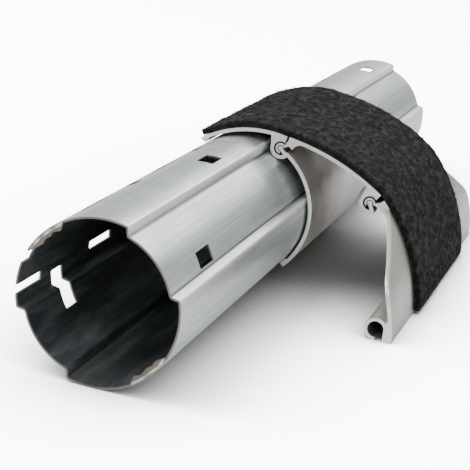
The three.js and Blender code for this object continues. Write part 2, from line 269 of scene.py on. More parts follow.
# %% Shader group: lengthwise streaks
def make_streaks():
    tree = new_tree(
        "lengthwise_streaks",
        "ShaderNodeTree",
        [
            ("Vector", "NodeSocketVector", None),
            ("Lines per Metre", "NodeSocketFloat", 1800.0),
            ("Stretch", "NodeSocketFloat", 110.0),
            ("Smears per Metre", "NodeSocketFloat", 120.0),
        ],
        [("Lines", "NodeSocketFloat"), ("Smears", "NodeSocketFloat")],
    )
    take = given(tree)

    def stretched(per_metre, stretch, detail):
        along = sums(tree, "DIVIDE", per_metre, stretch)
        place = vectors(tree, "MULTIPLY", take["Vector"], xyz(tree, X=per_metre, Y=along, Z=per_metre))
        return noise_at(tree, place, 1.0, detail, roughness=0.6)

    lines = stretched(take["Lines per Metre"], take["Stretch"], 4.0)
    smears = stretched(take["Smears per Metre"], 9.0, 3.0)
    give(
        tree,
        Lines=scaled(tree, lines, 0.0, 1.0, 0.3, 0.7),
        Smears=scaled(tree, smears, 0.0, 1.0, 0.28, 0.72),
    )
    return tree


# %% Shader group: handling marks and dust
def make_handling():
    tree = new_tree(
        "handling_marks",
        "ShaderNodeTree",
        [("Vector", "NodeSocketVector", None), ("Scale", "NodeSocketFloat", 60.0)],
        [("Smudge", "NodeSocketFloat"), ("Specks", "NodeSocketFloat")],
    )
    take = given(tree)
    smudge = noise_at(tree, take["Vector"], take["Scale"], 6.0, roughness=0.62)
    finer = sums(tree, "MULTIPLY", take["Scale"], 14.0)
    dots = noise_at(tree, take["Vector"], finer, 2.0)
    give(
        tree,
        Smudge=scaled(tree, smudge, 0.0, 1.0, 0.35, 0.68),
        Specks=scaled(tree, dots, 0.0, 1.0, 0.66, 0.78),
    )
    return tree


# %% Shader group: bare cut metal over a finish
def make_cut_metal():
    tree = new_tree(
        "cut_metal",
        "ShaderNodeTree",
        [
            ("Vector", "NodeSocketVector", None),
            ("Finish Color", "NodeSocketColor", None),
            ("Cut Color", "NodeSocketColor", None),
            ("Cut", "NodeSocketFloat", 0.0),
            ("Finish Roughness", "NodeSocketFloat", 0.4),
            ("Cut Roughness", "NodeSocketFloat", 0.3),
        ],
        [("Color", "NodeSocketColor"), ("Roughness", "NodeSocketFloat")],
    )
    take = given(tree)
    marks = noise_at(tree, take["Vector"], 1400.0, 3.0)
    toned = vectors(tree, "SCALE", take["Cut Color"], scaled(tree, marks, 0.8, 1.15))
    color = mix_color(tree, take["Cut"], take["Finish Color"], toned)
    rough = scaled(tree, take["Cut"], take["Finish Roughness"], take["Cut Roughness"])
    give(tree, Color=color, Roughness=rough)
    return tree


STREAKS = make_streaks()
HANDLING = make_handling()
CUT_METAL = make_cut_metal()
print("shader groups:", [tree.name for tree in (STREAKS, HANDLING, CUT_METAL)])


# %% A material's common start
def new_material(name):
    material = bpy.data.materials.new(name)
    material.use_nodes = True
    tree = material.node_tree
    return material, tree, tree.nodes["Principled BSDF"]


def group(tree, node_group, inputs):
    node = tree.nodes.new("ShaderNodeGroup")
    node.node_tree = node_group
    fill(tree, node, inputs)
    return node.outputs


def object_place(tree):
    return put(tree, "ShaderNodeTexCoord").outputs["Object"]


def mask(tree, attribute):
    return put(tree, "ShaderNodeAttribute", attribute_name=attribute).outputs["Fac"]


def add_bump(tree, shader, height, strength=0.1, distance=0.0002):
    bump = put(tree, "ShaderNodeBump", {"Height": height, "Strength": strength, "Distance": distance})
    fill(tree, shader, {"Normal": bump.outputs[0]})


# %% [markdown]
# ## Galvanised sheet
#
# Hot-dip zinc is pale, faintly blue-green, and broken into large soft crystals called spangle. The
# rolls polish it lengthwise. The sheet's inside is painted much darker and duller, as painted
# shade inside the tube, with smears in it, and where the press or the saw went through, bare steel
# shows a brownish line the width of the sheet. The mesh carries an attribute called `depth`, 0 on
# the outside and 1 on the inside, and the material turns it into those three. Two more attributes
# follow the steps: `crease` paints shade into the corner at the foot of each riser, and `nose`
# paints a highlight along each rounded edge, where the sheet is also made less metallic.


# %% Material: galvanised sheet
def galvanised_sheet():
    material, tree, shader = new_material("galvanised_sheet")
    place = object_place(tree)
    streaks = group(tree, STREAKS, {"Vector": place, "Lines per Metre": 1100.0, "Smears per Metre": 170.0})
    marks = group(tree, HANDLING, {"Vector": place, "Scale": 45.0})
    crystals = put(tree, "ShaderNodeTexVoronoi", {"Vector": place, "Scale": 190.0, "Randomness": 1.0})
    spangle = put(tree, "ShaderNodeSeparateColor", {"Color": crystals.outputs["Color"]}).outputs[0]

    zinc = mix_color(tree, scaled(tree, spangle, 0.0, 0.3), (0.64, 0.73, 0.7, 1), (0.74, 0.81, 0.785, 1))
    streaked = mix_color(tree, scaled(tree, streaks["Lines"], 0.0, 0.55), zinc, (0.88, 0.92, 0.91, 1))
    dark_lines = scaled(tree, streaks["Lines"], 0.4, 0.0, 0.0, 0.5)
    lined = mix_color(tree, dark_lines, streaked, (0.3, 0.36, 0.35, 1))
    smeared = mix_color(tree, scaled(tree, streaks["Smears"], 0.0, 0.55), lined, (0.36, 0.42, 0.415, 1))
    # Painted shade: the corner at the foot of each riser is painted nearly black, a little less along
    # smears.
    crease_shade = sums(tree, "MULTIPLY", mask(tree, "crease"), scaled(tree, streaks["Smears"], 1.0, 0.85))
    crease_shaded = mix_color(tree, crease_shade, smeared, (0.055, 0.058, 0.055, 1))
    # Painted highlight: the rounded nose of each step is painted nearly white.
    nose_highlight = scaled(tree, mask(tree, "nose"), 0.0, 0.85, 0.15, 0.75)
    nose_highlighted = mix_color(tree, nose_highlight, crease_shaded, (0.95, 0.97, 0.96, 1))

    depth = mask(tree, "depth")
    # Painted shade: the sheet's inner face is painted much darker than its outside, with smears and blotches
    # in it.
    inner_streak = scaled(tree, streaks["Smears"], 0.0, 1.0, 0.45, 1.0)
    inner_shade = mix_color(tree, inner_streak, (0.036, 0.05, 0.056, 1), (0.19, 0.225, 0.24, 1))
    blotched = mix_color(tree, scaled(tree, marks["Smudge"], 0.0, 0.5), inner_shade, (0.02, 0.028, 0.03, 1))
    inside = scaled(tree, depth, 0.0, 1.0, 0.93, 0.97)
    sheet = mix_color(tree, inside, nose_highlighted, blotched)
    rough_out = scaled(tree, sums(tree, "ADD", spangle, streaks["Smears"]), 0.27, 0.4, 0.0, 2.0)
    rough = sums(tree, "ADD", rough_out, sums(tree, "MULTIPLY", inside, 0.04))

    left_outside = scaled(tree, depth, 0.0, 1.0, 0.03, 0.08)
    not_inside = sums(tree, "SUBTRACT", 1.0, inside)
    bare = group(
        tree,
        CUT_METAL,
        {
            "Vector": place,
            "Finish Color": sheet,
            "Cut Color": (0.17, 0.142, 0.112, 1),
            "Cut": sums(tree, "MULTIPLY", left_outside, not_inside),
            "Finish Roughness": rough,
            "Cut Roughness": 0.5,
        },
    )
    dust = sums(tree, "MULTIPLY", marks["Smudge"], 0.12)
    dusty = mix_color(tree, dust, bare["Color"], (0.46, 0.46, 0.43, 1))
    fill(tree, shader, {"Base Color": dusty, "Roughness": bare["Roughness"]})
    # The painted highlight on each nose is also made less metallic.
    toned_down = sums(tree, "MULTIPLY", nose_highlight, -0.4)
    metallic = sums(tree, "ADD", scaled(tree, inside, 0.85, 0.4), toned_down, use_clamp=True)
    fill(tree, shader, {"Metallic": metallic})
    height = sums(tree, "ADD", streaks["Lines"], sums(tree, "MULTIPLY", spangle, 0.5))
    add_bump(tree, shader, height)
    return material


GALVANISED = galvanised_sheet()

# %% [markdown]
# ## Mill-finish aluminium
#
# The links are sawn from extruded bars. The skin keeps the die's fine lengthwise lines and a soft
# warm grey, and the sawn ends are brighter and show the saw's own marks across the section. The
# mesh attribute `sawn` is 1 on those end faces, and `hidden` is 1 inside the sockets and the
# channel, where the material paints the metal nearly black: painted shade, with some dirt.


# %% Material: mill aluminium
def mill_aluminium():
    material, tree, shader = new_material("mill_aluminium")
    place = object_place(tree)
    streaks = group(tree, STREAKS, {"Vector": place, "Lines per Metre": 2600.0, "Stretch": 160.0})
    marks = group(tree, HANDLING, {"Vector": place, "Scale": 70.0})
    lined = scaled(tree, streaks["Lines"], 0.0, 0.4)
    grey = mix_color(tree, lined, (0.5, 0.475, 0.445, 1), (0.67, 0.645, 0.615, 1))
    toned_down = mix_color(tree, scaled(tree, marks["Smudge"], 0.0, 0.25), grey, (0.36, 0.34, 0.315, 1))
    saw = put(
        tree,
        "ShaderNodeTexWave",
        {"Vector": place, "Scale": 320.0, "Distortion": 1.6, "Detail": 2.0},
        bands_direction="X",
    )
    saw_color = mix_color(tree, saw.outputs["Fac"], (0.78, 0.77, 0.75, 1), (0.9, 0.89, 0.87, 1))
    sawn = mask(tree, "sawn")
    ends = group(
        tree,
        CUT_METAL,
        {
            "Vector": place,
            "Finish Color": toned_down,
            "Cut Color": saw_color,
            "Cut": sawn,
            "Finish Roughness": scaled(tree, marks["Smudge"], 0.32, 0.46),
            "Cut Roughness": 0.42,
        },
    )
    # Painted shade, with some dirt: inside the sockets and the channel the metal is painted nearly black and
    # made less metallic.
    shaded = sums(tree, "MULTIPLY", mask(tree, "hidden"), scaled(tree, sawn, 0.88, 0.0))
    specks = sums(tree, "MULTIPLY", marks["Specks"], 0.35)
    specked = mix_color(tree, specks, ends["Color"], (0.3, 0.29, 0.28, 1))
    shade_and_grime = mix_color(tree, shaded, specked, (0.035, 0.033, 0.03, 1))
    fill(tree, shader, {"Base Color": shade_and_grime, "Roughness": ends["Roughness"]})
    fill(tree, shader, {"Metallic": scaled(tree, shaded, 0.85, 0.2)})
    saw_relief = sums(tree, "MULTIPLY", saw.outputs["Fac"], sums(tree, "MULTIPLY", sawn, 2.0))
    height = sums(tree, "ADD", streaks["Lines"], saw_relief)
    add_bump(tree, shader, height)
    return material


ALUMINIUM = mill_aluminium()

# %% [markdown]
# ## Needled felt
#
# The strip is charcoal felt about 3 mm thick: short grey and black fibres punched into a mat. Up
# close it is blotchy, with paler tufts a millimetre or two across and single light fibres. The
# group below makes that blotchiness once, and both the felt and its loose fibres use it, so the
# fibres take the tone of the mat they stand on.


# %% Shader group and materials: felt
def make_matted():
    tree = new_tree(
        "matted_fibres",
        "ShaderNodeTree",
        [("Vector", "NodeSocketVector", None), ("Tufts per Metre", "NodeSocketFloat", 360.0)],
        [("Tufts", "NodeSocketFloat"), ("Fibres", "NodeSocketFloat")],
    )
    take = given(tree)
    laid = vectors(tree, "MULTIPLY", take["Vector"], (1.0, 0.5, 1.0))
    swirl = put(tree, "ShaderNodeTexNoise", {"Vector": laid, "Scale": 260.0, "Detail": 2.0})
    moved = vectors(tree, "ADD", laid, vectors(tree, "SCALE", swirl.outputs["Color"], 0.003))
    tufts = noise_at(tree, moved, take["Tufts per Metre"], 5.0, roughness=0.65)
    finer = sums(tree, "MULTIPLY", take["Tufts per Metre"], 3.4)
    fibres = noise_at(tree, moved, finer, 3.0, roughness=0.7, distortion=1.2)
    give(
        tree,
        Tufts=scaled(tree, tufts, 0.0, 1.0, 0.44, 0.64),
        Fibres=scaled(tree, fibres, 0.0, 1.0, 0.42, 0.72),
    )
    return tree


MATTED = make_matted()


def felt_material(name, dark, pale, bump_strength):
    material, tree, shader = new_material(name)
    place = object_place(tree)
    matted = group(tree, MATTED, {"Vector": place})
    tone = sums(tree, "MULTIPLY", matted["Tufts"], scaled(tree, matted["Fibres"], 0.15, 1.0))
    # Painted shade: where `side` is 1, on the mat's two side edges, the felt is painted much darker.
    shown = sums(tree, "MULTIPLY", tone, scaled(tree, mask(tree, "side"), 1.0, 0.12))
    color = mix_color(tree, shown, dark, pale)
    fill(tree, shader, {"Base Color": color, "Roughness": scaled(tree, tone, 0.98, 0.86)})
    fill(tree, shader, {"Sheen Weight": 0.04, "Sheen Roughness": 0.6, "Specular IOR Level": 0.1})
    height = sums(tree, "ADD", matted["Tufts"], sums(tree, "MULTIPLY", matted["Fibres"], 0.5))
    add_bump(tree, shader, height, bump_strength, 0.0005)
    return material


FELT = felt_material("charcoal_felt", (0.005, 0.0045, 0.004, 1), (0.088, 0.083, 0.077, 1), 0.9)
FIBRE = felt_material("loose_felt_fibre", (0.004, 0.0038, 0.0035, 1), (0.19, 0.18, 0.165, 1), 0.1)
print("materials:", [material.name for material in (GALVANISED, ALUMINIUM, FELT, FIBRE)])

# %% [markdown]
# ## The winding tube
#
# The tube's section follows a rule: two proud panels and two recessed ones, joined by short rounded
# risers, the same all along. That makes it a good job for Geometry Nodes. A circle's points are
# pushed in where the panels are recessed, and a thin upright rectangle, one sheet thick and one
# tube long, is swept round that loop, so that the wall keeps its thickness even round the noses.
# Extruding a filled outline would also work, but the sweep keeps the wall true with no offsetting.

# %% Driving sizes of the sheet
WALL = 0.8 * MM
RECESS_DEPTH = 3 * MM
RECESS_CENTRE = math.radians(45)
RISER_OUTER = math.radians(30.6)
RISER_INNER = math.radians(25.6)
SECTION_POINTS = 1200
CORNER_ROUND = 0.5 * MM
PUNCH_TRAVEL = 12 * MM


# %% Geometry nodes: a row of punched holes
def make_punch_row():
    tree = new_tree(
        "punched_row",
        "GeometryNodeTree",
        [
            ("Angle", "NodeSocketFloat", 0.0),
            ("First", "NodeSocketFloat", 0.0),
            ("Pitch", "NodeSocketFloat", 0.1),
            ("Count", "NodeSocketInt", 1),
            ("Length", "NodeSocketFloat", 0.01),
            ("Width", "NodeSocketFloat", 0.005),
            ("Tube Radius", "NodeSocketFloat", 0.031),
        ],
        [("Punches", "NodeSocketGeometry")],
    )
    take = given(tree)
    outline = rectangle_curve(tree, take["Width"], take["Length"])
    rounded = put(
        tree,
        "GeometryNodeFilletCurve",
        {"Curve": outline, "Count": 4, "Radius": CORNER_ROUND, "Limit Radius": True},
        mode="POLY",
    )
    face = put(tree, "GeometryNodeFillCurve", {"Curve": rounded.outputs[0]}, mode="NGONS")
    up = xyz(tree, Z=PUNCH_TRAVEL)
    raised = put(
        tree,
        "GeometryNodeExtrudeMesh",
        {"Mesh": face.outputs[0], "Offset": up, "Offset Scale": 1.0, "Individual": False},
        mode="FACES",
    )
    base = put(tree, "GeometryNodeFlipFaces", {"Mesh": face.outputs[0]})
    both = put(tree, "GeometryNodeJoinGeometry", {0: [raised.outputs["Mesh"], base.outputs[0]]})
    punch = put(tree, "GeometryNodeMergeByDistance", {"Geometry": both.outputs[0], "Distance": 1e-6})
    lift = xyz(tree, Z=sums(tree, "SUBTRACT", take["Tube Radius"], PUNCH_TRAVEL / 2))
    lifted = transformed(tree, punch.outputs[0], "Translation", lift)
    turn = xyz(tree, Y=sums(tree, "SUBTRACT", math.pi / 2, take["Angle"]))
    turned = transformed(tree, lifted, "Rotation", turn)
    start = xyz(tree, Y=take["First"])
    step = xyz(tree, Y=take["Pitch"])
    places = put(
        tree,
        "GeometryNodeMeshLine",
        {"Count": take["Count"], "Start Location": start, "Offset": step},
        mode="OFFSET",
    )
    row = put(tree, "GeometryNodeInstanceOnPoints", {"Points": places.outputs[0], "Instance": turned})
    solid = put(tree, "GeometryNodeRealizeInstances", {"Geometry": row.outputs[0]})
    give(tree, Punches=solid.outputs[0])
    return tree


PUNCHED_ROW = make_punch_row()


# %% The rows, as places from the near end
def row(angle, first, pitch, length, width, end_margin=6):
    """One punched row, all in millimetres and degrees, kept clear of the far end."""
    tube = TUBE_LENGTH / MM
    count = math.ceil((tube - end_margin - length / 2 - first) / pitch)
    return {
        "Angle": math.radians(angle),
        "First": (first - tube / 2) * MM,
        "Pitch": pitch * MM,
        "Count": count,
        "Length": length * MM,
        "Width": width * MM,
        "Tube Radius": TUBE_RADIUS,
    }


FIRST_SLOT = 27
SLOT_PITCH = 35
SLOT_ROW = 122.5
SIDE_PITCH = 138
# Each row's angle, first place, pitch, and the length and width of its holes.
PUNCHED = {
    "long slots": row(SLOT_ROW, FIRST_SLOT, 2 * SLOT_PITCH, 25, 5),
    "square holes": row(SLOT_ROW, FIRST_SLOT + SLOT_PITCH, 2 * SLOT_PITCH, 9, 9),
    "top holes": row(90, 107, SIDE_PITCH, 12.5, 6.8),
    "bottom holes": row(270, 107, SIDE_PITCH, 12.5, 6.8),
    "recess holes": row(28, 38, SIDE_PITCH, 14.5, 6.3),
    "step windows": row(199, 33, SIDE_PITCH, 9.5, 15),
    "narrow slots": row(183, 9, 64.5, 21, 3.3),
    "end nick": {**row(159, 0, 1000, 12, 5), "Count": 1},
}
print("punched holes:", sum(places["Count"] for places in PUNCHED.values()))


# %% Geometry nodes: the rolled tube
def make_tube_tree():
    tree = new_tree(
        "rolled_tube",
        "GeometryNodeTree",
        [
            ("Radius", "NodeSocketFloat", 0.03),
            ("Length", "NodeSocketFloat", 0.4),
            ("Wall", "NodeSocketFloat", 0.001),
            ("Recess Depth", "NodeSocketFloat", 0.003),
            ("Recess Centre", "NodeSocketFloat", 0.8),
            ("Riser Outer", "NodeSocketFloat", 0.5),
            ("Riser Inner", "NodeSocketFloat", 0.45),
            ("Section Points", "NodeSocketInt", 360),
            ("Centre", "NodeSocketVector", None),
        ],
        [("Geometry", "NodeSocketGeometry")],
    )
    take = given(tree)
    circle = circle_curve(tree, take["Section Points"], take["Radius"])
    place = put(tree, "ShaderNodeSeparateXYZ", {0: put(tree, "GeometryNodeInputPosition").outputs[0]})
    angle = sums(tree, "ARCTAN2", place.outputs["Y"], place.outputs["X"])
    # The section repeats every half turn, so the angle is folded to its distance from a recess.
    shifted = sums(tree, "SUBTRACT", angle, take["Recess Centre"])
    folded = sums(tree, "WRAP", shifted, math.pi / 2, -math.pi / 2)
    distance = sums(tree, "ABSOLUTE", folded)
    proud = put(
        tree,
        "ShaderNodeMapRange",
        {"Value": distance, "From Min": take["Riser Inner"], "From Max": take["Riser Outer"]},
        interpolation_type="SMOOTHERSTEP",
    )
    sunk = sums(tree, "SUBTRACT", 1.0, proud.outputs[0])
    drop = sums(tree, "MULTIPLY", sunk, take["Recess Depth"])
    radius = sums(tree, "SUBTRACT", take["Radius"], drop)
    across = sums(tree, "MULTIPLY", sums(tree, "COSINE", angle), radius)
    upward = sums(tree, "MULTIPLY", sums(tree, "SINE", angle), radius)
    moved = xyz(tree, X=across, Y=upward)
    section = put(tree, "GeometryNodeSetPosition", {"Geometry": circle, "Position": moved})
    sheet = rectangle_curve(tree, take["Wall"], take["Length"])
    half_wall = xyz(tree, X=sums(tree, "MULTIPLY", take["Wall"], -0.5))
    offset = transformed(tree, sheet, "Translation", half_wall)
    upright = sweep(tree, section.outputs[0], offset, False)
    laid = transformed(tree, upright, "Rotation", (math.pi / 2, 0, 0))
    rows = []
    for name, values in PUNCHED.items():
        made = tree.nodes.new("GeometryNodeGroup")
        made.node_tree = PUNCHED_ROW
        made.label = name
        fill(tree, made, values)
        rows.append(made.outputs[0])
    punches = put(tree, "GeometryNodeJoinGeometry", {0: rows})
    punched = put(
        tree,
        "GeometryNodeMeshBoolean",
        {"Mesh 1": laid, "Mesh 2": punches.outputs[0]},
        operation="DIFFERENCE",
        solver="MANIFOLD",
    )
    placed = transformed(tree, punched.outputs[0], "Translation", take["Centre"])
    give(tree, Geometry=coated(tree, placed, GALVANISED))
    return tree


# %% Run the tube's tree
def run_tree(name, tree, values, base=None):
    obj = collect(bpy.data.objects.new(name + "_source", base or bpy.data.meshes.new(name)))
    modifier = obj.modifiers.new("nodes", "NODES")
    modifier.node_group = tree
    for item in tree.interface.items_tree:
        if item.in_out == "INPUT" and item.name in values:
            modifier[item.identifier] = values[item.name]
    return bake(obj, name)


tube = run_tree(
    "winding_tube",
    make_tube_tree(),
    {
        "Radius": TUBE_RADIUS,
        "Length": TUBE_LENGTH,
        "Wall": WALL,
        "Recess Depth": RECESS_DEPTH,
        "Recess Centre": RECESS_CENTRE,
        "Riser Outer": RISER_OUTER,
        "Riser Inner": RISER_INNER,
        "Section Points": SECTION_POINTS,
        "Centre": tuple(tube_centre),
    },
)
tube_points = np.array([vertex.co for vertex in tube.data.vertices])
print("tube box", (tube_points.min(0) / MM).round(2), (tube_points.max(0) / MM).round(2), triangles(tube))


# %% How deep in the sheet each point of the tube lies
# Where the sheet's material paints shade at the foot of each riser (crease) and a highlight on its nose.
CREASE_SHIFT = math.radians(0.1)
CREASE_REACH = math.radians(1.7)
NOSE_SHIFT = math.radians(-0.9)
NOSE_REACH = math.radians(3.4)


def from_recess(angle):
    """How far round the tube an angle is from the middle of the nearest recessed panel."""
    return abs((angle - RECESS_CENTRE + math.pi / 2) % math.pi - math.pi / 2)


def recess_share(angle):
    """0 on a proud panel and 1 on a recessed one, by the same rule as the tube's tree."""
    share = min(max((from_recess(angle) - RISER_INNER) / (RISER_OUTER - RISER_INNER), 0), 1)
    return 1 - share**3 * (share * (share * 6 - 15) + 10)


def section_point(angle):
    radius = TUBE_RADIUS - RECESS_DEPTH * recess_share(angle)
    return Vector((radius * math.cos(angle), 0, radius * math.sin(angle)))


def step_mark(angle, centre, reach):
    """1 where the distance from the recess's middle is the centre's, falling to 0 at the reach."""
    return max(0.0, 1 - abs(from_recess(angle) - centre) / reach)


def store_sheet_marks(obj):
    outside = kdtree.KDTree(2 * SECTION_POINTS)
    for i in range(2 * SECTION_POINTS):
        outside.insert(section_point(math.pi * i / SECTION_POINTS), i)
    outside.balance()
    depths, creases, noses = [], [], []
    for vertex in obj.data.vertices:
        local = vertex.co - tube_centre
        angle = math.atan2(local.z, local.x)
        depths.append(outside.find(Vector((local.x, 0, local.z)))[2] / WALL)
        creases.append(step_mark(angle, RISER_INNER + CREASE_SHIFT, CREASE_REACH))
        noses.append(step_mark(angle, RISER_OUTER + NOSE_SHIFT, NOSE_REACH))
    for name, values in (("depth", depths), ("crease", creases), ("nose", noses)):
        store(obj.data, name, values)
    return min(depths), max(depths)


print("depth from", store_sheet_marks(tube))
finish_piece(tube, 30)

# %% [markdown]
# ## Links
#
# The three links are plain extrusions, and the CAD part already has their sections in full: socket,
# hook, core and channel. A copy of each is merged into one skin, its coplanar triangles are joined,
# and its edges get a fine bevel, because a sawn and tumbled edge always catches a line of light.
# Drawing the sections again would only risk a second version that doesn't fit the first. The hooks
# are shown 0.4 mm thinner, for the loose fit that the real hinges have.

# %% Make the links from their solids
WELD_DISTANCE = 0.002 * MM
FLAT_ANGLE = math.radians(0.6)
EDGE_BREAK = 0.16 * MM
BROKEN_ANGLE = math.radians(32)
END_FACING = 0.8
HOOK_RADIUS = 2.7 * MM
HOOK_SLACK = 0.06 * MM
HOOK_THINNING = 0.4 * MM
SOCKET_INSIDE = 3.3 * MM
CHANNEL_INSIDE = 3.55 * MM
CHANNEL_CENTRE = Vector((48.9, 0, 4.8)) * MM


def in_a_channel(point):
    """1 in a hinge socket or the slat channel, where little light gets in: painted shade and some dirt."""
    near = [(hinge, SOCKET_INSIDE) for hinge in hinges.values()] + [(CHANNEL_CENTRE, CHANNEL_INSIDE)]
    return float(any(math.hypot(point.x - at.x, point.z - at.z) < reach for at, reach in near))


def link_from(node, name):
    mesh = frame["nodes"][node].data.copy()
    mesh.name = name
    work = bmesh.new()
    work.from_mesh(mesh)
    bmesh.ops.remove_doubles(work, verts=work.verts, dist=WELD_DISTANCE)
    bmesh.ops.dissolve_limit(work, angle_limit=FLAT_ANGLE, verts=work.verts, edges=work.edges)
    work.to_mesh(mesh)
    work.free()
    for layer in [one.name for one in mesh.attributes if one.name in ("sharp_face", "custom_normal")]:
        mesh.attributes.remove(mesh.attributes[layer])
    for vertex in mesh.vertices:
        for hinge in hinges.values():
            reach = Vector((vertex.co.x - hinge.x, 0, vertex.co.z - hinge.z))
            if abs(reach.length - HOOK_RADIUS) < HOOK_SLACK:
                vertex.co -= reach.normalized() * HOOK_THINNING
    obj = collect(bpy.data.objects.new(name + "_source", mesh))
    bevel = obj.modifiers.new("edge break", "BEVEL")
    bevel.width = EDGE_BREAK
    bevel.segments = 2
    bevel.limit_method = "ANGLE"
    bevel.angle_limit = BROKEN_ANGLE
    bevel.harden_normals = False
    made = bake(obj, name)
    made.data.materials.clear()
    made.data.materials.append(ALUMINIUM)
    sawn = [float(abs(face.normal.y) > END_FACING) for face in made.data.polygons]
    store(made.data, "sawn", sawn, "FACE")
    store(made.data, "hidden", [in_a_channel(vertex.co) for vertex in made.data.vertices])
    print(name, triangles(made), "triangles,", int(sum(sawn)), "sawn faces")
    return finish_piece(made, 28)


LINKS = {}
for place in ("ring", "middle", "end"):
    LINKS[place + "_link"] = link_from(place + "_link", place + "_extrusion")

# %% [markdown]
# ## The felt's path
#
# The felt lies on the links' outer skins, so its path in the section is three arcs, joined over
# the two hinge gaps. Each arc is known from its radius, its slope at the hinge and where the skin
# starts beside the hinge. The arcs are walked as one list of points and evened out, so the strip
# bends smoothly over the gaps as thick felt does.

# %% The skins' arcs
SKIN_HEIGHT = 6 * MM
PARENT_FACE = 1 * MM
CHILD_FACE = 2.4 * MM
RING_START = math.radians(-12)
LANDING_HEIGHT = 2.9 * MM
LANDING_OVERRUN = math.radians(6.2)
MIDDLE_ARC = {"radius": 102 * MM, "slopes": (math.radians(-8), math.radians(-34.5))}
END_ARC = {"radius": 77 * MM, "slopes": (math.radians(-47), math.radians(-89))}
PATH_STEP = 0.5 * MM
FELT_STEP = 0.6 * MM
FOOT_LIFT = 1 * MM


def beside(hinge, slope, along, out):
    """The point at a distance along a skin and out through it, from a hinge in the section."""
    x = hinge.x + along * math.cos(slope) - out * math.sin(slope)
    z = hinge.z + along * math.sin(slope) + out * math.cos(slope)
    return np.array([x, z])


def skin_arc(corner, radius, start, end):
    """Points of an outer skin that has the start slope at a corner, walked until the end slope."""
    centre = corner - radius * np.array([-math.sin(start), math.cos(start)])
    return arc_about(centre, radius, start, end)


def arc_about(centre, radius, start, end):
    slopes = np.linspace(start, end, max(2, round(radius * abs(end - start) / PATH_STEP)))
    return centre + radius * np.stack([-np.sin(slopes), np.cos(slopes)], axis=1)


def ring_arcs(corner):
    """The ring link's skin, from its hinge back to where it lands on the tube and a little past."""
    middle = np.array([tube_centre.x, tube_centre.z])
    normal = np.array([-math.sin(RING_START), math.cos(RING_START)])
    circle = TUBE_RADIUS + LANDING_HEIGHT
    point = corner - middle
    radius = (point @ point - circle**2) / (2 * (point @ normal - circle))
    towards = -(point - radius * normal)
    landing = math.atan2(towards[1], towards[0]) - math.pi / 2
    away = skin_arc(corner, radius, RING_START, landing)
    round_tube = arc_about(middle, circle, landing, landing + LANDING_OVERRUN)
    return np.concatenate([away, round_tube[1:]])


def felt_path():
    first, second = hinges["ring_hinge"], hinges["middle_hinge"]
    ring = ring_arcs(beside(first, RING_START, PARENT_FACE, SKIN_HEIGHT))[::-1]
    start, end = MIDDLE_ARC["slopes"]
    middle = skin_arc(beside(first, start, CHILD_FACE, SKIN_HEIGHT), MIDDLE_ARC["radius"], start, end)
    start, end = END_ARC["slopes"]
    last = skin_arc(beside(second, start, CHILD_FACE, SKIN_HEIGHT), END_ARC["radius"], start, end)
    return np.concatenate([ring, middle, last]), len(ring), len(ring) + len(middle)


def evened(points, step, rounds=12):
    """The points smoothed and set at equal steps, with both ends kept."""
    lengths = np.concatenate([[0], np.cumsum(np.linalg.norm(np.diff(points, axis=0), axis=1))])
    count = round(lengths[-1] / step) + 1
    even = np.linspace(0, lengths[-1], count)
    path = np.stack([np.interp(even, lengths, points[:, k]) for k in (0, 1)], axis=1)
    for _ in range(rounds):
        path[1:-1] = path[1:-1] * 0.5 + (path[:-2] + path[2:]) * 0.25
    return path


raw_path, middle_start, middle_end = felt_path()
split_point = raw_path[(middle_start + middle_end) // 2]
path = evened(raw_path, FELT_STEP)
path = path[path[:, 1] > FOOT_LIFT]
tangents = np.gradient(path, axis=0)
tangents /= np.linalg.norm(tangents, axis=1)[:, None]
outward = np.stack([-tangents[:, 1], tangents[:, 0]], axis=1)
split = int(np.argmin(np.linalg.norm(path - split_point, axis=1)))

# %% [markdown]
# ## The felt strip
#
# The strip is one mat on the real object, but it crosses two hinges, and a piece can only blend
# across one. So the same mat is cut in two where nothing bends, half way along the middle link.
# Both halves are made by one function from one displaced surface, so the join can't be seen. Its
# top is lumpy at two scales, its edges are slightly ragged, and its underside follows the skins.
# Cloth simulation would add nothing here: bonded felt has no drape, only thickness.

# %% Surface of the mat
FELT_GAP = 0.3 * MM
FELT_THICKNESS = 2.7 * MM
EDGE_ROUND = 0.55 * MM
LUMP, LUMP_SPAN = 0.2 * MM, 7 * MM
TUFT, TUFT_SPAN = 0.26 * MM, 1.5 * MM
RAGGED, RAGGED_SPAN = 0.4 * MM, 1.3 * MM
RAGGED_INSET, RAGGED_BAND = 0.1 * MM, 0.7 * MM
BULGE, BULGE_SPAN = 0.3 * MM, 0.9 * MM
felt_width = link_high.y - link_low.y


def lumps(x, y, z):
    broad = noise.noise(Vector((x, y, z)) / LUMP_SPAN)
    fine = noise.fractal(Vector((x + 1, y / 2, z)) / TUFT_SPAN, 0.9, 2.1, 3)
    return LUMP * broad + TUFT * fine


def mat_section(i):
    """The loop of points round the mat at one path point, as offsets along y and outwards."""
    half = felt_width / 2
    columns = round(felt_width / FELT_STEP)
    ys = np.linspace(-half, half, columns + 1)
    x, z = path[i]
    nx, nz = outward[i]
    top, bottom = [], []
    for y in ys:
        to_side = half - abs(y)
        rounding = EDGE_ROUND * max(0.0, 1 - to_side / EDGE_ROUND) ** 2
        height = FELT_GAP + FELT_THICKNESS + lumps(x, y, z) - rounding
        ragged = RAGGED * noise.noise(Vector((x, z, math.copysign(3, y))) / RAGGED_SPAN)
        shift = math.copysign(1, y) * (ragged - RAGGED_INSET) if to_side < RAGGED_BAND else 0.0
        top.append((x + nx * height, y + shift, z + nz * height))
        bottom.append((x + nx * FELT_GAP, y, z + nz * FELT_GAP))
    middle_out = FELT_GAP + FELT_THICKNESS * 0.5
    right, left = [], []
    for side, store_in in ((1, right), (-1, left)):
        bulge = BULGE * noise.noise(Vector((x, z, side * 7)) / BULGE_SPAN)
        store_in.append((x + nx * middle_out, side * (half + bulge), z + nz * middle_out))
    return top + right + bottom[::-1] + left


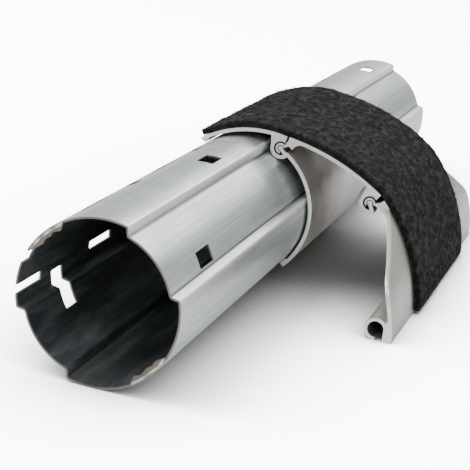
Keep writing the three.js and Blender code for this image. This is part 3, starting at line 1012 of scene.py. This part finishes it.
def mat_between(name, first, last):
    rings = [mat_section(i) for i in range(first, last + 1)]
    around = len(rings[0])
    columns = round(felt_width / FELT_STEP) + 1
    vertices = [point for ring in rings for point in ring]
    faces = faces_between(len(rings), around)
    for base, turn in ((0, -1), ((len(rings) - 1) * around, 1)):
        strip = []
        for j in range(columns - 1):
            low = around - 2 - j
            strip.append((base + j, base + low, base + low - 1, base + j + 1))
        strip.append((base + columns - 1, base + columns + 1, base + columns))
        strip.append((base, base + around - 1, base + around - 2))
        faces += [quad[::turn] for quad in strip]
    mesh = closed_mesh(name, vertices, faces, FELT)
    # `side` is 1 along the mat's two side edges, which the felt material paints darker as shade.
    side = np.zeros(len(vertices), dtype=np.float32)
    side.reshape(len(rings), around)[:, columns] = 1
    side.reshape(len(rings), around)[:, -1] = 1
    store(mesh, "side", side)
    obj = finish_piece(collect(bpy.data.objects.new(name, mesh)), 60)
    print(name, triangles(obj), "triangles")
    return obj


felt_upper = mat_between("felt_upper", 0, split)
felt_lower = mat_between("felt_lower", split, len(path) - 1)

# %% [markdown]
# ## Loose fibres
#
# Felt is never quite smooth against the light: short fibres stand out of it. Hair particles would
# be dropped by the export, so Geometry Nodes scatter a small bent fibre over the mat instead. Each
# fibre is a three-sided hair of a few faces, turned at random about the surface's normal and laid
# nearly flat, and all of it is made real geometry at the end.


# %% Geometry nodes: scattered fibres
def make_fibre_tree():
    tree = new_tree(
        "scattered_fibres",
        "GeometryNodeTree",
        [
            ("Geometry", "NodeSocketGeometry", None),
            ("Density", "NodeSocketFloat", 400000.0),
            ("Fibre Length", "NodeSocketFloat", 0.0014),
            ("Fibre Radius", "NodeSocketFloat", 0.00004),
            ("Seed", "NodeSocketInt", 3),
        ],
        [("Geometry", "NodeSocketGeometry")],
    )
    take = given(tree)
    scattered = put(
        tree,
        "GeometryNodeDistributePointsOnFaces",
        {"Mesh": take["Geometry"], "Density": take["Density"], "Seed": take["Seed"]},
        distribute_method="RANDOM",
    )
    arc = put(
        tree,
        "GeometryNodeCurveQuadraticBezier",
        {"Resolution": 3, "Start": (0, 0, 0), "Middle": (0.6, 0, 0.25), "End": (0.55, 0.6, 0.06)},
    )
    lengths = dict.fromkeys("XYZ", take["Fibre Length"])
    sized = transformed(tree, arc.outputs[0], "Scale", xyz(tree, **lengths))
    thread = circle_curve(tree, 3, take["Fibre Radius"])
    hair = sweep(tree, sized, thread, True)
    upright = put(
        tree,
        "FunctionNodeAlignRotationToVector",
        {"Rotation": scattered.outputs["Rotation"], "Vector": scattered.outputs["Normal"]},
        axis="Z",
    )
    spin = random_between(tree, 0.0, 2 * math.pi, take["Seed"])
    turned = put(
        tree,
        "FunctionNodeRotateRotation",
        {"Rotation": upright.outputs[0], "Rotate By": xyz(tree, Z=spin)},
        rotation_space="LOCAL",
    )
    size = random_between(tree, 0.5, 1.25, sums(tree, "ADD", take["Seed"], 11))
    hairs = put(
        tree,
        "GeometryNodeInstanceOnPoints",
        {
            "Points": scattered.outputs["Points"],
            "Instance": hair,
            "Rotation": turned.outputs[0],
            "Scale": size,
        },
    )
    give(tree, Geometry=coated(tree, hairs.outputs[0], FIBRE))
    return tree


FIBRE_TREE = make_fibre_tree()
FIBRE_SIZES = {"Density": 400000.0, "Fibre Length": 2.8 * MM, "Fibre Radius": 0.06 * MM}
TOP_HEIGHT = FELT_GAP + FELT_THICKNESS * 0.3
CUT_END_FACING = 0.8


def mat_top(source, name):
    """A copy of a mat's upper surface, which is where the fibres show."""
    work = bmesh.new()
    work.from_mesh(source.data)
    under = []
    for face in work.faces:
        middle = face.calc_center_median()
        nearest = int(np.argmin((path[:, 0] - middle.x) ** 2 + (path[:, 1] - middle.z) ** 2))
        height = (middle.x - path[nearest, 0]) * outward[nearest, 0]
        height += (middle.z - path[nearest, 1]) * outward[nearest, 1]
        along = face.normal.x * tangents[nearest, 0] + face.normal.z * tangents[nearest, 1]
        if height < TOP_HEIGHT or abs(along) > CUT_END_FACING:
            under.append(face)
    bmesh.ops.delete(work, geom=under, context="FACES")
    mesh = bpy.data.meshes.new(name)
    work.to_mesh(mesh)
    work.free()
    return mesh


def fibres_on(source, name, seed):
    made = run_tree(name, FIBRE_TREE, {**FIBRE_SIZES, "Seed": seed}, mat_top(source, name + "_base"))
    print(name, triangles(made), "triangles")
    return made


fibres_upper = fibres_on(felt_upper, "fibres_upper", 3)
fibres_lower = fibres_on(felt_lower, "fibres_lower", 8)

# %% [markdown]
# ## Folded lips at the near rim
#
# Where the saw ran through the punched rows, the thin bridges of sheet were bent inwards. They are
# small curled tabs, bright on the side that faces out of the tube. Each is a short sweep of the
# sheet's own thickness round the rim, with a bend at its root and a free edge that wanders a little.

# %% Make the lips
LIP_SPANS = {"upper_lip": (121, 152), "lower_lip": (-58, -26)}
LIP_HEIGHT = 2.3 * MM
LIP_BEND = 0.9 * MM
LIP_STEPS = 90
BEND_STEPS = 5
# Places in the sheet's thickness: the cut edge itself, and a zinc skin scraped nearly through.
BARE_STEEL = 0.4
SCRAPED = 0.05
CUT_EDGE_FROM = 0.85


def lip(name, start, end, seed):
    vertices, depths = [], []
    for i in range(LIP_STEPS + 1):
        share = i / LIP_STEPS
        angle = math.radians(start + (end - start) * share)
        taper = min(1.0, 6 * min(share, 1 - share)) ** 0.5
        wander = 1 + 0.4 * noise.noise(Vector((share * 5, seed, 0)))
        lean = 0.35 + 0.5 * noise.noise(Vector((share * 4, seed, 5)))
        reach = max(LIP_BEND * 1.05, LIP_HEIGHT * taper * wander)
        inner, outer = [], []
        for k in range(BEND_STEPS + 1):
            turn = math.pi / 2 * k / BEND_STEPS
            for side, radius in ((inner, LIP_BEND - WALL / 2), (outer, LIP_BEND + WALL / 2)):
                depth = LIP_BEND - radius * math.cos(turn)
                side.append((WALL / 2 + depth, LIP_BEND - radius * math.sin(turn)))
        for side, offset in ((inner, WALL / 2), (outer, -WALL / 2)):
            side.append((WALL / 2 + reach, offset + lean * (reach - LIP_BEND)))
        for depth, along in outer + inner[::-1]:
            radius = TUBE_RADIUS - depth
            x = tube_centre.x + radius * math.cos(angle)
            vertices.append((x, tube_low.y + along, tube_centre.z + radius * math.sin(angle)))
            scraped = SCRAPED * (1 + noise.noise(Vector((share * 6, depth / MM, seed + 9))))
            depths.append(BARE_STEEL if depth > CUT_EDGE_FROM * (WALL / 2 + reach) else scraped)
    around = len(vertices) // (LIP_STEPS + 1)
    faces = faces_between(LIP_STEPS + 1, around)
    faces.append(tuple(range(around)))
    faces.append(tuple(range(LIP_STEPS * around, (LIP_STEPS + 1) * around))[::-1])
    mesh = closed_mesh(name, vertices, faces, GALVANISED)
    store(mesh, "depth", depths)
    return finish_piece(collect(bpy.data.objects.new(name, mesh)), 40)


lips = [lip(name, *span, seed) for seed, (name, span) in enumerate(LIP_SPANS.items())]
print("lips", [obj.name for obj in lips])

# %% [markdown]
# ## What rides on what
#
# Each piece names the body it moves with. The felt halves turn from one link's motion to the next
# over a few millimetres on each side of their hinge, as thick felt does when its link swings.


# %% Ride, blend and replace
def in_section(hinge, slope, along, out):
    x, z = beside(hinge, slope, along, out)
    return (float(x), 0.0, float(z))


BLEND_REACH = 5 * MM
spans = {
    "ring_hinge": ("tube", "middle", (RING_START + MIDDLE_ARC["slopes"][0]) / 2),
    "middle_hinge": ("middle", "end", (MIDDLE_ARC["slopes"][1] + END_ARC["slopes"][0]) / 2),
}
felts_over = {"ring_hinge": (felt_upper, fibres_upper), "middle_hinge": (felt_lower, fibres_lower)}
for joint, (body_a, body_b, slope) in spans.items():
    start = in_section(hinges[joint], slope, -BLEND_REACH, SKIN_HEIGHT)
    end = in_section(hinges[joint], slope, BLEND_REACH, SKIN_HEIGHT)
    for piece in felts_over[joint]:
        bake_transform(piece, body_a, body_b, start=start, end=end)

for piece in [tube, *lips]:
    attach(piece, "tube")
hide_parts("roller_tube")

for node, body in (("ring_link", "tube"), ("middle_link", "middle"), ("end_link", "end")):
    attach(LINKS[node], body)
    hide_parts(node)

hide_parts("felt_ring", "felt_middle")
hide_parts("felt_end")

# %% [markdown]
# ## Floor, light and camera
#
# The object stands on a pale sweep of paper under soft light. One big lamp high on the left makes
# the tube's highlight and the soft shadows on the right, a second one fills from the right, and
# the rest is an even pale surround. Close to the object the paper is painted darker, a painted
# shadow over the lamps' own. The camera looks down on the near end with a long lens, from a
# distance, which keeps the tube's sides nearly parallel.


# %% Floor
OVEREXPOSED = 6.0
SHADED = 0.25
SHADOW_REACH = 0.14


def pale_paper():
    """Paper lit as usual, which the camera sees overexposed, but for a painted shadow near the object."""
    material, tree, shader = new_material("pale_paper")
    place = object_place(tree)
    tooth = noise_at(tree, place, 900.0, 3.0)
    color = mix_color(tree, tooth, (0.86, 0.865, 0.865, 1), (0.9, 0.9, 0.9, 1))
    fill(tree, shader, {"Base Color": color, "Roughness": 0.9})
    seen = put(tree, "ShaderNodeLightPath").outputs["Is Camera Ray"]
    # Painted shadow: what the camera sees of the paper darkens where ambient occlusion finds the object
    # near.
    open_sky = put(tree, "ShaderNodeAmbientOcclusion", {"Distance": SHADOW_REACH}, samples=8).outputs["AO"]
    painted_shadow_gain = scaled(tree, sums(tree, "POWER", open_sky, 2.0), SHADED, OVEREXPOSED)
    bright = put(tree, "ShaderNodeBsdfDiffuse", {"Color": painted_shadow_gain})
    either = put(tree, "ShaderNodeMixShader", {0: seen, 1: shader.outputs[0], 2: bright.outputs[0]})
    fill(tree, tree.nodes["Material Output"], {"Surface": either.outputs[0]})
    return material


bpy.ops.mesh.primitive_plane_add(size=14, location=(0, 3, 0))
floor = bpy.context.object
floor.name = "floor"
floor.data.materials.append(pale_paper())


# %% Lights
def area_light(name, place, aim, size, power):
    data = bpy.data.lights.new(name, "AREA")
    data.shape = "RECTANGLE"
    data.size, data.size_y = size
    data.energy = power
    obj = collect(bpy.data.objects.new(name, data))
    obj.location = place
    obj.rotation_euler = (Vector(aim) - Vector(place)).to_track_quat("-Z", "Y").to_euler()


area_light("key", (-0.9, -0.35, 1.25), (0, 0, 0.03), (1.1, 1.1), 29)
area_light("fill", (1.0, -1.3, 0.8), (0, 0, 0.03), (1.0, 0.8), 3)
area_light("back", (0.2, 1.6, 1.1), (0, 0, 0.05), (1.4, 0.6), 10)

SKY_GLOW = (0.4, 1.2)
SKY_RISE = (-0.05, 0.9)
world = bpy.data.worlds.new("surround")
world.use_nodes = True
sky = world.node_tree
upward = put(sky, "ShaderNodeSeparateXYZ", {0: put(sky, "ShaderNodeTexCoord").outputs["Generated"]})
glow = scaled(sky, upward.outputs["Z"], *SKY_GLOW, *SKY_RISE)
fill(sky, sky.nodes["Background"], {"Color": (1, 1, 1, 1), "Strength": glow})
bpy.context.scene.world = world

# %% Camera
NEAR_RIM_MIDDLE = Vector((tube_centre.x, tube_low.y, tube_centre.z))
CAMERA_PLACE = NEAR_RIM_MIDDLE + Vector((174.9, -451.2, 175.9)) * MM
LENS_MM = 114
SENSOR_MM = 36
camera_right = Vector((0.941, 0.311, 0.133))
camera_up = Vector((-0.212, 0.235, 0.949))
camera_back = camera_right.cross(camera_up).normalized()
camera_up = camera_back.cross(camera_right).normalized()
camera_data = bpy.data.cameras.new("camera")
camera_data.lens = LENS_MM
camera_data.sensor_width = SENSOR_MM
camera = collect(bpy.data.objects.new("camera", camera_data))
turn = Matrix((camera_right.normalized(), camera_up, camera_back)).transposed().to_4x4()
camera.matrix_world = Matrix.Translation(CAMERA_PLACE) @ turn
bpy.context.scene.camera = camera
print("camera at", tuple(round(v, 3) for v in CAMERA_PLACE))
